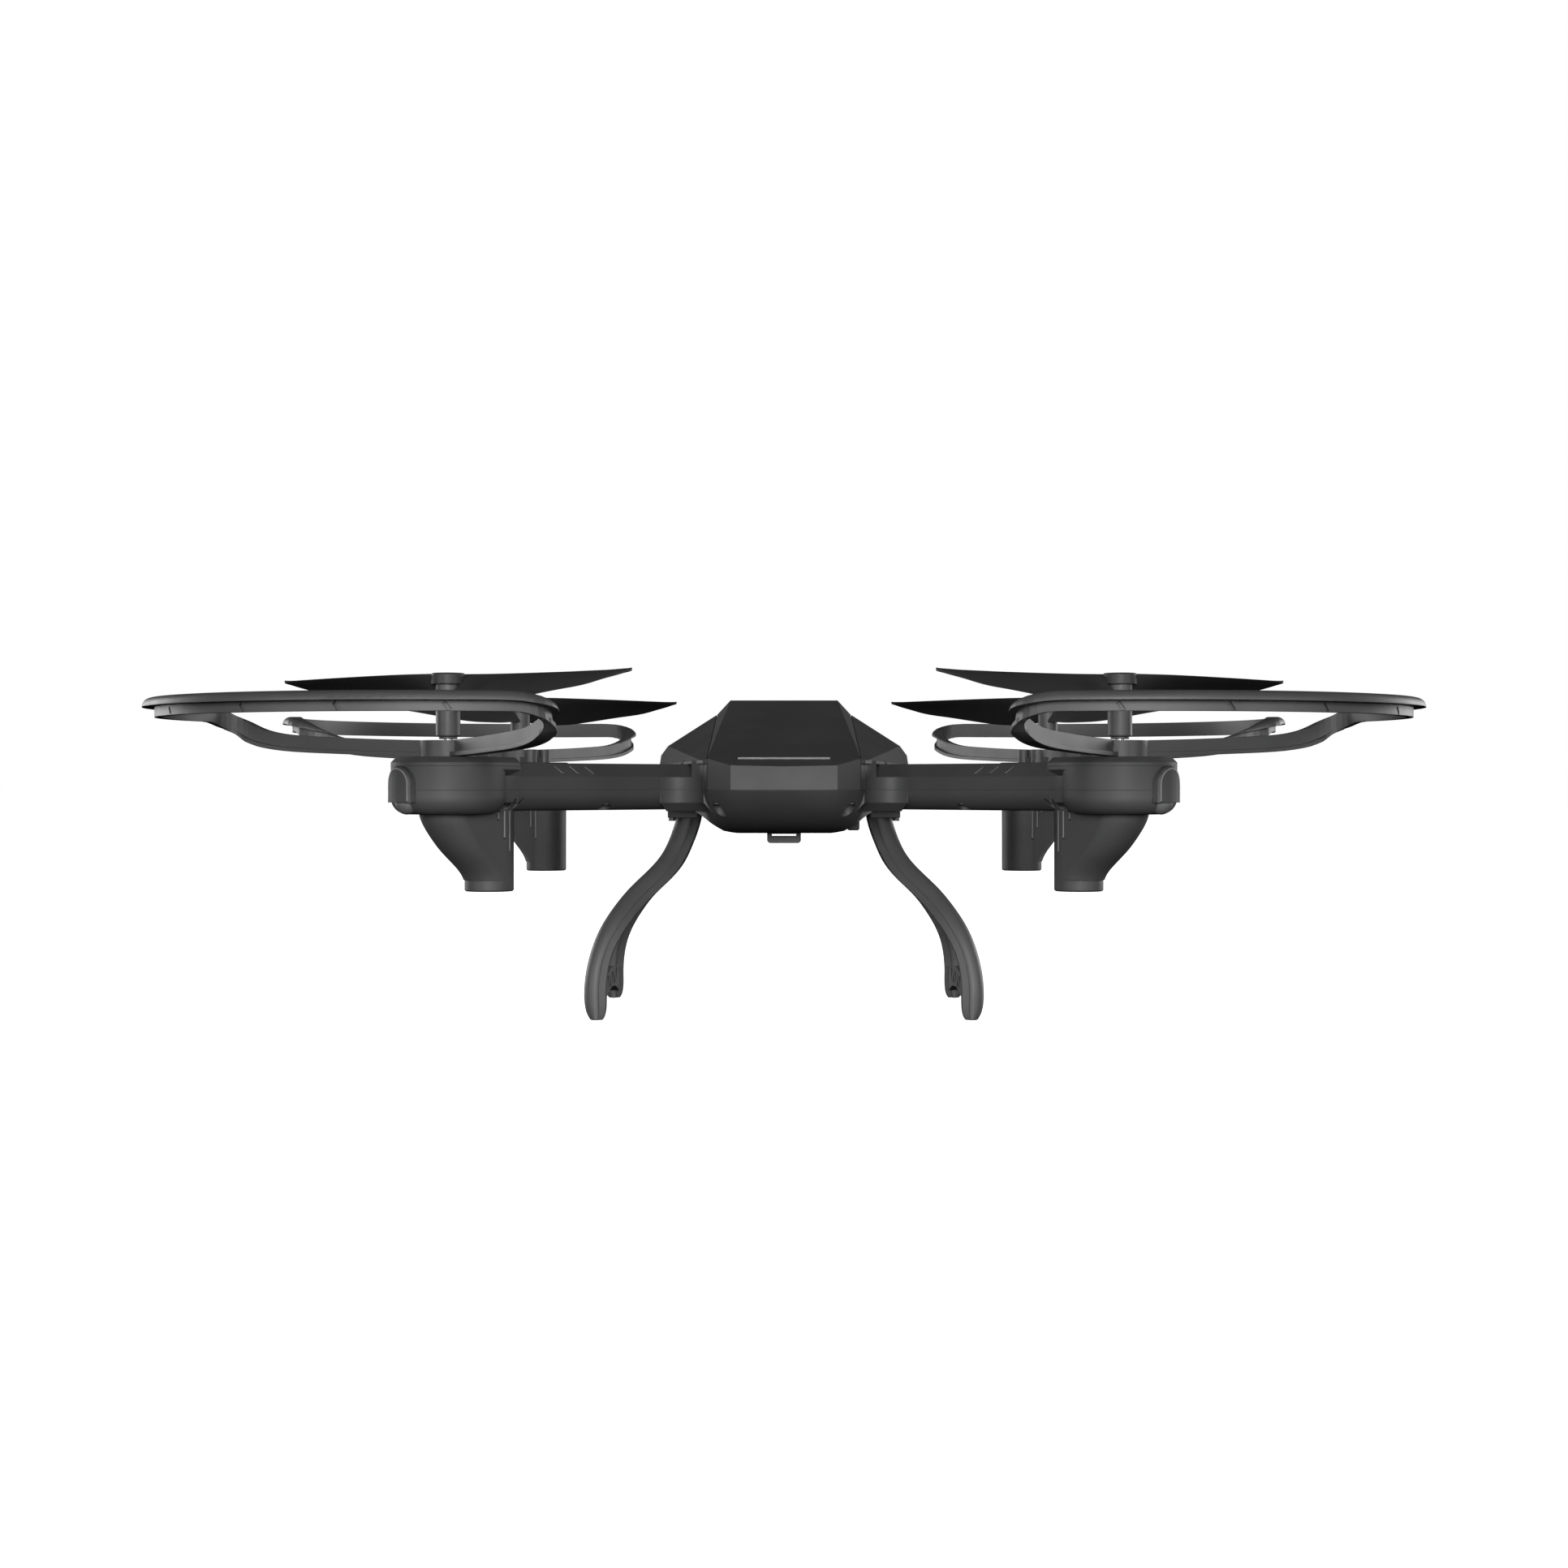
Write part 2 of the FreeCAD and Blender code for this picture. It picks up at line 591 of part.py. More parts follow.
def stadium(z, fraction, inset):
    """Pod outline: a circle round the motor joined to one that reaches toward the shaft."""
    reach = (MOTOR_XY - SHAFT_XY) * math.sqrt(2) * fraction
    small = TUBE_RADIUS - inset
    large = TUBE_RADIUS + 0.8 * fraction - inset
    edges = [
        Part.Arc(V(reach, -large, z), V(reach + large, 0, z), V(reach, large, z)).toShape(),
        Part.makeLine(V(reach, large, z), V(0, small, z)),
        Part.Arc(V(0, small, z), V(-small, 0, z), V(0, -small, z)).toShape(),
        Part.makeLine(V(0, -small, z), V(reach, -large, z)),
    ]
    return Part.Wire(edges)


def pod_loft(inset):
    funnel = Part.makeLoft([stadium(z, f, inset) for z, f in POD_STATIONS], True, False)
    tube = cylinder(0, 0, TUBE_BOTTOM_Z - (1 if inset else 0), 36.5, TUBE_RADIUS - inset)
    return union([funnel, tube])


def pod_vents():
    """Three upright cooling grooves on each flank of the pod."""
    cuts = []
    for side in (-1, 1):
        for angle, low in ((72, 47.1), (90, 43.0), (108, 40.0)):
            groove = box(4.6, 9, -0.25, 0.25, low, 49.6)
            groove.rotate(V(0, 0, 0), UP, side * angle)
            cuts.append(groove)
    return union(cuts)


def motor_pod(shell_outer):
    pod = pod_loft(0)
    rim = [e for e in pod.Edges if e.BoundBox.ZMax < TUBE_BOTTOM_Z + 0.01]
    pod = pod.makeChamfer(0.3, rim)
    pod = pod.cut(pod_loft(TUBE_RADIUS - MOTOR_RADIUS)).cut(pod_vents())
    return on_motor(pod).cut(shell_outer)


def motor_can():
    low, high = MOTOR_Z
    can = cylinder(0, 0, low, high, MOTOR_RADIUS)
    rims = [e for e in can.Edges if e.Curve.TypeId == "Part::GeomCircle"]
    can = can.makeFillet(0.4, rims)
    can = can.cut(cylinder(0, 0, high - 4.0, high + 1, 0.6))
    boss = cylinder(0, 0, high - 0.1, high + 0.8, 1.3).cut(cylinder(0, 0, high - 4, high + 1, 0.6))
    return on_motor(union([can, boss]))


def toothed_wheel(teeth, z_range, first_degrees, bore):
    """Spur wheel with straight-flanked teeth cut thin enough to run with backlash."""
    pitch = GEAR_MODULE * teeth / 2
    root, tip = pitch - 0.66, pitch + 0.36
    half_root, half_pitch, half_tip = 0.46, 0.31, 0.16
    low, high = z_range
    wheel = cylinder(0, 0, low, high, root)
    outline = [(root - 0.3, -half_root), (root, -half_root), (pitch, -half_pitch), (tip, -half_tip),
               (tip, half_tip), (pitch, half_pitch), (root, half_root), (root - 0.3, half_root)]
    tooth = prism_z(outline, low, high)
    ring = []
    for i in range(teeth):
        one = tooth.copy()
        one.rotate(V(0, 0, 0), UP, first_degrees + 360.0 * i / teeth)
        ring.append(one)
    return union([wheel] + ring).cut(cylinder(0, 0, low - 1, high + 1, bore))


def drive_gear():
    wheel = toothed_wheel(GEAR_TEETH, GEAR_Z, OUTWARD_DEG - 180.0, SHAFT_RADIUS)
    for i in range(5):
        window = cylinder(5.3, 0, GEAR_Z[0] - 1, GEAR_Z[1] + 1, 1.7)
        window.rotate(V(0, 0, 0), UP, 72.0 * i)
        wheel = wheel.cut(window)
    hub = cylinder(0, 0, 53.2, 58.5, 2.2).cut(cylinder(0, 0, 50, 60, SHAFT_RADIUS))
    return placed(union([wheel, hub]), SHAFT_XY, SHAFT_XY)


def pinion():
    """Motor pinion with the motor shaft it is pressed on."""
    wheel = toothed_wheel(PINION_TEETH, PINION_Z, OUTWARD_DEG + 20.0, 0.3)
    shaft = cylinder(0, 0, MOTOR_Z[1] - 3.5, PINION_Z[1] + 0.3, 0.5)
    return placed(union([wheel, shaft]), MOTOR_XY, MOTOR_XY)


def prop_shaft():
    shaft = cylinder(0, 0, 50.0, 77.2, SHAFT_RADIUS)
    rims = [e for e in shaft.Edges if e.Curve.TypeId == "Part::GeomCircle"]
    return on_shaft(shaft.makeChamfer(0.2, rims).cut(cylinder(0, 0, 76.0, 78.0, 0.55)))


def shaft_bearings():
    bearings = []
    for low, high in ((49.8, 52.2), (COVER_BOTTOM_Z, 60.5)):
        ring = cylinder(0, 0, low, high, BEARING_RADIUS)
        ring = ring.cut(cylinder(0, 0, low - 1, high + 1, SHAFT_RADIUS + RUNNING_CLEARANCE))
        bearings += all_corners(on_shaft(ring))
    return Part.Compound(bearings)


def mast_sleeve():
    """Spacer tube that carries the propeller above the guard collar."""
    tube = cylinder(0, 0, 65.3, SLEEVE_TOP_Z, SLEEVE_RADIUS)
    tube = tube.makeChamfer(0.25, [e for e in tube.Edges if e.BoundBox.ZMax < 65.31])
    sleeve = union([cylinder(0, 0, COLLAR_TOP_Z + GAP, 65.4, 2.0), tube])
    return on_shaft(sleeve.cut(cylinder(0, 0, 60, 80, SHAFT_RADIUS)))


def gear_cover():
    plate = teardrop(HOUSING_RADIUS, MOTOR_LOBE_RADIUS, COVER_BOTTOM_Z, COVER_TOP_Z)
    top_edges = [e for e in plate.Edges if e.BoundBox.ZMin > COVER_TOP_Z - 0.01]
    plate = plate.makeChamfer(1.2, top_edges)
    plate = plate.cut(on_shaft(cylinder(0, 0, 50, 60.5, BEARING_RADIUS)))
    plate = plate.cut(on_shaft(cylinder(0, 0, 50, 70, 1.6)))
    for side in (-1, 1):
        plate = plate.cut(on_shaft(cylinder(-GUARD_BOSS[0], side * GUARD_BOSS[1], 50, 70, 0.6)))
    return plate


# ------------------------------------------------------------------ propeller

def blade_section(radius, lead, chord, trail_z):
    """Thin cambered closed section standing across the blade at the given radius."""
    share = radius / BLADE_STATIONS[-1][0]
    lead_z = BLADE_LEAD_Z[0] + (BLADE_LEAD_Z[1] - BLADE_LEAD_Z[0]) * share
    thick = BLADE_THICKNESS * (1.25 - 0.55 * share)
    upper, lower = [], []
    for t, bulge in ((0.0, 0.0), (0.12, 0.62), (0.35, 1.0), (0.7, 0.72), (1.0, 0.0)):
        z = lead_z - 0.07 + (trail_z - lead_z) * t + 0.05 * chord * math.sin(math.pi * t)
        upper.append(V(radius, lead - chord * t, z + 0.5 * thick * bulge + 0.06))
        lower.append(V(radius, lead - chord * t, z - 0.5 * thick * bulge - 0.06))
    lower.reverse()
    edges = [
        curve_edge(upper),
        Part.makeLine(upper[-1], lower[0]),
        curve_edge(lower),
        Part.makeLine(lower[-1], upper[0]),
    ]
    return Part.Wire(edges)


def propeller():
    blade = Part.makeLoft([blade_section(*station) for station in BLADE_STATIONS], True, False)
    blade = blade.cut(cylinder(0, 0, 60, SLEEVE_TOP_Z, SLEEVE_RADIUS + 0.05)).cut(cylinder(0, 0, 60, 90, 2.0))
    twin = blade.copy()
    twin.rotate(V(0, 0, 0), UP, 180)
    hub = cylinder(0, 0, SLEEVE_TOP_Z, TOP_Z, 3.7)
    rim = [e for e in hub.Edges if e.BoundBox.ZMin > TOP_Z - 0.01 and e.Curve.TypeId == "Part::GeomCircle"]
    hub = hub.makeFillet(0.5, rim)
    whole = union([hub, blade, twin]).cut(cylinder(0, 0, 60, 77.2, 2.0))
    whole = whole.cut(cylinder(0, 0, 76, 78.1, SHAFT_RADIUS))
    web = cylinder(0, 0, 76.7, 78.1, 2.0).cut(cylinder(0, 0, 76, 79, SHAFT_RADIUS))
    whole = union([whole, web]).cut(cylinder(0, 0, 78.0, 80, 1.7)).cut(cylinder(0, 0, 77, 80, 0.55))
    return placed(whole, SHAFT_XY, SHAFT_XY, BLADE_ANGLE_DEG)


def prop_screw():
    head = cylinder(0, 0, 78.0, 78.95, 1.6)
    head = head.cut(box(-0.2, 0.2, -1.0, 1.0, 78.5, 79.5)).cut(box(-1.0, 1.0, -0.2, 0.2, 78.5, 79.5))
    return on_shaft(union([head, cylinder(0, 0, 76.1, 78.1, 0.55)]))


# ------------------------------------------------------------------ guards

GUARD_BOSS = (7.6, 2.3)


def guard_wire(top_point, top_out, low_point, low_out, low, top, lip):
    """Upright web with a quarter-round lip; the plan points lie on its outer face."""
    full_reach = GUARD_LIP_RADIUS - GUARD_WEB_RADIUS
    reach = full_reach * lip
    rise = (GUARD_Z[2] - GUARD_Z[1]) * lip
    bow = rise * math.sqrt(0.5)

    def upper(out, z):
        return top_point + top_out * out + V(0, 0, z)

    def lower(out):
        return low_point + low_out * out + V(0, 0, low)

    shelf = top - rise
    corners = [lower(-GUARD_THICKNESS), lower(0), upper(0, shelf), upper(reach, shelf)]
    corners += [upper(reach - rise, top), upper(-GUARD_THICKNESS, top)]
    edges = [Part.makeLine(a, b) for a, b in zip(corners[:3], corners[1:4])]
    edges.append(Part.Arc(corners[3], upper(reach - rise + bow, shelf + bow), corners[4]).toShape())
    edges += [Part.makeLine(corners[4], corners[5]), Part.makeLine(corners[5], corners[0])]
    return Part.Wire(edges)


def guard_path(radius, share):
    """Plan point and outward direction on the outer face, from the ring's end round to the arm."""
    half = GUARD_THICKNESS / 2
    hub = GUARD_WEB_RADIUS - radius
    lead = math.asin((radius - half) / hub)
    arm_angle = math.radians(GUARD_ARM_DEG)
    first = math.radians(GUARD_RING_DEG)
    turn_start = arm_angle - lead
    ring_length = GUARD_WEB_RADIUS * (turn_start - first)
    turn_length = radius * (math.pi / 2 + lead)
    arm_length = hub * math.cos(lead) - GUARD_ARM_REACH
    run = share * (ring_length + turn_length + arm_length)
    if run <= ring_length:
        angle = first + run / GUARD_WEB_RADIUS
        out = V(math.cos(angle), math.sin(angle), 0)
        return out * GUARD_WEB_RADIUS, out
    turned = min(run - ring_length, turn_length) / radius
    centre = V(math.cos(turn_start), math.sin(turn_start), 0) * hub
    out = V(math.cos(turn_start + turned), math.sin(turn_start + turned), 0)
    beyond = max(run - ring_length - turn_length, 0)
    inward = V(-math.cos(arm_angle), -math.sin(arm_angle), 0)
    return centre + out * radius + inward * beyond, out


def guard_turn():
    """Ring end that swings round and drops diagonally into the arm."""
    wires = []
    for share, low, top, lip in GUARD_TURN:
        top_point, top_out = guard_path(GUARD_BEND_TOP, share)
        low_point, low_out = guard_path(GUARD_BEND_LOW, share)
        wires.append(guard_wire(top_point, top_out, low_point, low_out, low, top, lip))
    return Part.makeLoft(wires, True, True)


def profile_face(upper, lower, y):
    """Face between two smooth lines in the plane at y, joined by straight ends."""
    upper_points = [V(r, y, z) for r, z in upper]
    lower_points = [V(r, y, z) for r, z in lower]
    edges = [
        curve_edge(upper_points),
        Part.makeLine(upper_points[-1], lower_points[-1]),
        curve_edge(lower_points),
        Part.makeLine(lower_points[0], upper_points[0]),
    ]
    return Part.Face(Part.Wire(Part.__sortEdges__(edges)))


def guard_flange():
    """Start of the arm's flange: it grows out of both sides of the web along the turn."""
    wires = []
    for share, low, _, _ in GUARD_TURN:
        if share < FLANGE_SHARE:
            continue
        grown = min((share - FLANGE_SHARE) / 0.3, 1.0)
        reach = -0.3 + (FLANGE_REACH + 0.3) * grown
        point, out = guard_path(GUARD_BEND_LOW, share)
        outer = point + out * reach
        inner = point - out * (GUARD_THICKNESS + reach)
        wires.append(Part.makePolygon([inner + V(0, 0, low + FLANGE_Z[0]), outer + V(0, 0, low + FLANGE_Z[0]),
                                       outer + V(0, 0, low + FLANGE_Z[1]), inner + V(0, 0, low + FLANGE_Z[1]),
                                       inner + V(0, 0, low + FLANGE_Z[0])]))
    return Part.makeLoft(wires, True, True)


def guard_arm():
    """Radial arm along +x with a flange along its lower edge, running down to the collar."""
    top = [(GUARD_ARM_REACH, GUARD_TURN[-1][2]), (45.6, 66.4), (38.0, 65.8), (28.0, 65.3), (14.0, 64.8),
           (2.8, COLLAR_TOP_Z)]
    bottom = [(GUARD_ARM_REACH, GUARD_TURN[-1][1]), (45.6, 62.75), (38.0, 62.2), (28.0, 61.8), (13.0, 61.3),
              (2.8, 61.1)]
    half = GUARD_THICKNESS / 2
    web = profile_face(top, bottom, -half).extrude(V(0, 2 * half, 0))
    flange_low = [(r, z + FLANGE_Z[0]) for r, z in bottom]
    flange_top = [(r, z + FLANGE_Z[1]) for r, z in bottom]
    half += FLANGE_REACH
    flange = profile_face(flange_top, flange_low, -half).extrude(V(0, 2 * half, 0))
    return union([web, flange])


def guard_ring():
    section = guard_wire(V(GUARD_WEB_RADIUS, 0, 0), V(1, 0, 0), V(GUARD_WEB_RADIUS, 0, 0), V(1, 0, 0),
                         GUARD_Z[0], GUARD_Z[2], 1.0)
    section.rotate(V(0, 0, 0), UP, -GUARD_RING_DEG)
    return Part.Face(section).revolve(V(0, 0, 0), UP, 2 * GUARD_RING_DEG)


def guard_notches():
    """Short slanted marks in the outer face of the ring."""
    notches = []
    for degrees in (-52.6, -32.6, -12.4, 12.4, 32.6, 52.6):
        notch = box(GUARD_WEB_RADIUS - 0.5, GUARD_WEB_RADIUS + 1, -0.4, 0.4, -0.95, 0.95)
        notch.rotate(V(0, 0, 0), V(1, 0, 0), 35)
        notch.translate(V(0, 0, 70.0))
        notch.rotate(V(0, 0, 0), UP, degrees)
        notches.append(notch)
    return notches


def prop_guard():
    turn = union([guard_turn(), guard_flange()])
    arm_piece = guard_arm()
    arm_piece.rotate(V(0, 0, 0), UP, GUARD_ARM_DEG)
    pieces = [guard_ring(), turn, mirror_y(turn), arm_piece, mirror_y(arm_piece)]
    pieces.append(cylinder(0, 0, COVER_TOP_Z, COLLAR_TOP_Z, 6.0))
    pieces.append(box(-GUARD_BOSS[0], 0, -3.9, 3.9, COVER_TOP_Z, 62.4))
    for side in (-1, 1):
        pieces.append(cylinder(-GUARD_BOSS[0], side * GUARD_BOSS[1], COVER_TOP_Z, COLLAR_TOP_Z, 1.6))
    guard = union(pieces).cut(cylinder(0, 0, 60, 70, 2.3))
    for side in (-1, 1):
        guard = guard.cut(cylinder(-GUARD_BOSS[0], side * GUARD_BOSS[1], 60, 70, 0.6))
        guard = guard.cut(cylinder(-GUARD_BOSS[0], side * GUARD_BOSS[1], 63.5, 70, 1.15))
    return on_shaft(without(guard, guard_notches()))


def guard_screws():
    screws = []
    for side in (-1, 1):
        x, y = -GUARD_BOSS[0], side * GUARD_BOSS[1]
        head = cylinder(x, y, 63.5, 64.4, 1.15).cut(box(x - 0.8, x + 0.8, y - 0.15, y + 0.15, 64.1, 65))
        screws += all_corners(on_shaft(union([head, cylinder(x, y, 59.2, 63.6, 0.6)])))
    return Part.Compound(screws)


# ------------------------------------------------------------------ lights

def led_cap():
    """Arched hood on the outward side of the gear housing, open underneath."""
    arch = box(9, 16, -3.9, 3.9, 51.1, 55.0)
    head = Part.makeCylinder(3.9, 7, V(9, 0, 55.0), V(1, 0, 0))
    hood = union([arch, head]).common(cylinder(0, 0, 40, 70, 13.8))
    front = [e for e in hood.Edges if e.BoundBox.XMin > 12.5 and e.BoundBox.ZMax > 55.5]
    hood = hood.makeFillet(0.6, front)
    return on_shaft(hood.cut(cylinder(0, 0, 40, 70, HOUSING_RADIUS)))


def led_lens(housing):
    bulb = Part.makeSphere(2.6, V(10.9, 0, 51.1)).common(box(5, 20, -5, 5, 45, 51.1))
    return on_shaft(bulb).cut(housing)


# ------------------------------------------------------------------ skids

def leg_section(index):
    """Rounded bar with a narrower rib on its inner side, across the leg at one station."""
    x, y, z, half = SKID_STATIONS[index]
    before = SKID_STATIONS[max(index - 1, 0)]
    after = SKID_STATIONS[min(index + 1, len(SKID_STATIONS) - 1)]
    run = math.hypot(after[0] - before[0], after[2] - before[2])
    outward = V((after[2] - before[2]) / run, 0, (before[0] - after[0]) / run)
    if z < 2.0 or z > 47.0:
        outward = V(-1, 0, 0)

    def point(share_out, share_width):
        return V(x, y, z) + outward * (half * share_out) + V(0, SKID_HALF_WIDTH * share_width, 0)

    bar = [point(-0.37, -0.92), point(0.0, -1.0), point(0.5, -0.86), point(0.87, -0.5), point(1.0, 0.0),
           point(0.87, 0.5), point(0.5, 0.86), point(0.0, 1.0), point(-0.37, 0.92)]
    rib = [bar[-1], point(-0.37, 0.8), point(-1.0, 0.62), point(-1.0, -0.62), point(-0.37, -0.8), bar[0]]
    edges = [curve_edge(bar)] + [Part.makeLine(a, b) for a, b in zip(rib, rib[1:])]
    return Part.Wire(edges)


def skid_leg():
    """Front leg of the left skid: an S-curve that leans forward on its way down to the foot."""
    sections = [leg_section(i) for i in range(len(SKID_STATIONS))]
    return Part.makeLoft(sections, True, False)


def skid_rail():
    """Arched web between the two feet with crossed openings."""
    reach = 29.5
    top = [(-reach, 8.0), (-15.5, 9.0), (0, 9.9), (15.5, 9.0), (reach, 8.0)]
    bottom = [(-reach, 1.5), (-15.5, 4.0), (0, 4.9), (15.5, 4.0), (reach, 1.5)]
    web = profile_face(top, bottom, 0).extrude(V(0, 2.6, 0))
    web.rotate(V(0, 0, 0), UP, 90)
    web.translate(V(-42.5, 0, 0))
    for i in range(6):
        y = -17.5 + 7.0 * i
        low, high = 5.3, 8.5
        tip, base = (high, low) if i % 2 == 0 else (low, high)
        web = web.cut(prism_x([(y - 2.7, base), (y + 2.7, base), (y, tip)], -47, -40))
    return web


def skid():
    leg = skid_leg()
    half_y = SOCKET_HALF_Y - 0.6
    pad = box(-SOCKET_HALF_X, -WAIST_HALF_X, -half_y, half_y, SKID_PAD_BOTTOM_Z, SKID_PAD_TOP_Z)
    whole = union([leg, mirror_y(leg), skid_rail(), pad]).cut(hull(0))
    return without(whole, pad_screw_cylinders(SKID_PAD_BOTTOM_Z - 1, SKID_PAD_TOP_Z + 1, 0.5))


def pad_screw_cylinders(z0, z1, radius):
    x, y = PAD_SCREW_XY
    return [cylinder(sx * x, sy * y, z0, z1, radius) for sx in (-1, 1) for sy in (-1, 1)]


def skid_screws():
    """Short screws that hold the skid pads up against the shell."""
    heads = pad_screw_cylinders(SKID_PAD_BOTTOM_Z - 0.8, SKID_PAD_BOTTOM_Z, 0.85)
    shanks = pad_screw_cylinders(SKID_PAD_BOTTOM_Z - 0.1, SKID_PAD_TOP_Z + 1.2, 0.45)
    return Part.Compound([union([head, shank]) for head, shank in zip(heads, shanks)])


# ------------------------------------------------------------------ electronics

def circuit_board():
    board = prism_z([(-15, -30), (-15, 30), (-11, 34), (11, 34), (15, 30), (15, -30), (11, -34), (-11, -34)],
                    57.0, 58.2)
    legs = [cylinder(sx * 12.5, sy * 28.0, DECK_TOP_Z, 57.0, 1.4) for sx in (-1, 1) for sy in (-1, 1)]
    return union([board] + legs)


def board_chips():
    chips = [
        box(-5, 5, -6, 4, 58.2, 59.6),
        box(-11, -7, 8, 14, 58.2, 59.4),
        box(6, 12, 9, 13, 58.2, 59.4),
        box(-3, 5, 18, 27, 58.2, 60.2),
        cylinder(-10.0, -14.0, 58.2, 61.2, 1.8),
        cylinder(9.5, -13.0, 58.2, 61.2, 1.8),
    ]
    for sx in (-1, 1):
        for sy in (-1, 1):
            x0, x1 = sorted((sx * 8.0, sx * 12.0))
            y0, y1 = sorted((sy * 20.0, sy * 23.0))
            chips.append(box(x0, x1, y0, y1, 58.2, 61.0))
    return Part.Compound(chips)


def battery():
    """Flat cell in its wrap, with the tab end toward the nose."""
    cell = box(-9.5, 9.5, -17.5, 19.0, 46.0, 53.2)
    long_edges = [e for e in cell.Edges if abs(e.BoundBox.YLength - 36.5) < 0.1]
    cell = cell.makeFillet(1.6, long_edges)
    return union([cell, box(-7.0, 7.0, -19.2, -17.4, 47.6, 51.6)])


def charge_port():
    outer = box(-3.75, 3.75, 49.6, 54.6, 49.9, 52.7)
    sides = [e for e in outer.Edges if e.BoundBox.YLength > 4.9]
    outer = outer.makeFillet(0.7, sides)
    mouth = box(-3.25, 3.25, 50.4, 60, 50.4, 52.2)
    tongue = box(-2.2, 2.2, 50.3, 53.6, 51.0, 51.6)
    return union([outer.cut(mouth), tongue])


def switch_body():
    case = box(SWITCH_X - 2.6, SWITCH_X + 1.0, SWITCH_Y - 5.0, SWITCH_Y + 7.0, 48.0, 51.5)
    tab = box(SWITCH_X - 2.6, SWITCH_X + 1.0, SWITCH_Y - 7.0, SWITCH_Y + 9.0, 50.6, 51.4)
    return union([case, tab])


def power_switch():
    """Slider knob standing out of its slot in the slanted hull side, grooved for a fingernail."""
    x0, x1 = SWITCH_X - SWITCH_HALF_X, SWITCH_X + SWITCH_HALF_X
    knob = box(x0, x1, SWITCH_Y - 2.0, SWITCH_Y + 2.0, SWITCH_LOW_Z, 47.9)
    foot = [e for e in knob.Edges if e.BoundBox.ZMax < SWITCH_LOW_Z + 0.01]
    knob = knob.makeChamfer(0.35, foot)
    return knob.cut(box(10, 20, SWITCH_Y - 0.3, SWITCH_Y + 0.3, 43, 44.4))


def battery_door():
    """Belly door: flat plate, round hinge edge and the wire-like pull loop near its front."""
    low, high = HULL_BOTTOM_Z, HULL_BOTTOM_Z + DOOR_THICKNESS
    plate = box(-DOOR_HALF_X, DOOR_HALF_X, DOOR_FRONT_Y, DOOR_HINGE_Y, low, high)
    barrel = Part.makeCylinder(DOOR_THICKNESS / 2, 2 * DOOR_HALF_X,
                               V(-DOOR_HALF_X, DOOR_HINGE_Y, (low + high) / 2), V(1, 0, 0))
    loop = box(-4.05, 4.05, -17.4, -16.2, 40.9, low + 0.2)
    corners = [e for e in loop.Edges if e.BoundBox.YLength > 1.1 and e.BoundBox.ZMax < 41.0]
    loop = loop.makeFillet(0.8, corners)
    loop = loop.cut(box(-2.9, 2.9, -20, -10, 42.65, 43.1))
    ribs = [box(-7.0, 7.0, y, y + 1.0, low - 0.25, low + 0.1) for y in (4.0, 7.0, 10.0)]
    return union([plate, barrel, loop] + ribs)


# ------------------------------------------------------------------ assembly

def screws():
    """Pan head screws that draw the lower shell up to the upper shell."""
    made = []
    for x, y in (ARM_SCREW_XY, HULL_SCREW_XY):
        head = cylinder(x, y, 50.4, 51.6, 1.45)
        head = head.cut(box(x - 0.2, x + 0.2, y - 1, y + 1, 50, 51))
        head = head.cut(box(x - 1, x + 1, y - 0.2, y + 0.2, 50, 51))
        made += all_corners(union([head, cylinder(x, y, 51.5, 57.2, 0.8)]))
    return Part.Compound(made)


def build():
    outer = frame_outer()
    inner = frame_inner()
    canopy = canopy_cover()
    single = {
        "lower_shell": lower_shell(outer, inner),
        "upper_shell": upper_shell(outer, inner, canopy),
        "canopy_cover": canopy,
        "light_bar": light_bar(),
        "circuit_board": circuit_board(),
        "board_chips": board_chips(),
        "battery": battery(),
        "charge_port": charge_port(),
        "switch_body": switch_body(),
        "power_switch": power_switch(),
        "battery_door": battery_door(),
        "led_caps": Part.Compound(all_corners(led_cap())),
        "led_lenses": Part.Compound(all_corners(led_lens(housing_outer()))),
        "shell_screws": screws(),
        "guard_screws": guard_screws(),
        "skid_screws": skid_screws(),
        "shaft_bearings": shaft_bearings(),
        "skid_left": skid(),
        "skid_right": mirror_x(skid()),
    }
    quarter = {
        "motor_pod": motor_pod(outer),
        "motor_can": motor_can(),
        "pinion": pinion(),
        "drive_gear": drive_gear(),
        "prop_shaft": prop_shaft(),
        "mast_sleeve": mast_sleeve(),
        "gear_cover": gear_cover(),
        "propeller": propeller(),
        "prop_screw": prop_screw(),
        "prop_guard": prop_guard(),
    }
    nodes = dict(single)
    for name, shape in quarter.items():
        carry = at_corner if name == "propeller" else turned_to_corner
        for corner in CORNERS:
            nodes[f"{name}_{corner}"] = carry(shape, corner)
    return nodes


os.makedirs("parts", exist_ok=True)
for node, solid in build().items():
    solid.exportStep(f"parts/{node}.step")
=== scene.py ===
import json
import math

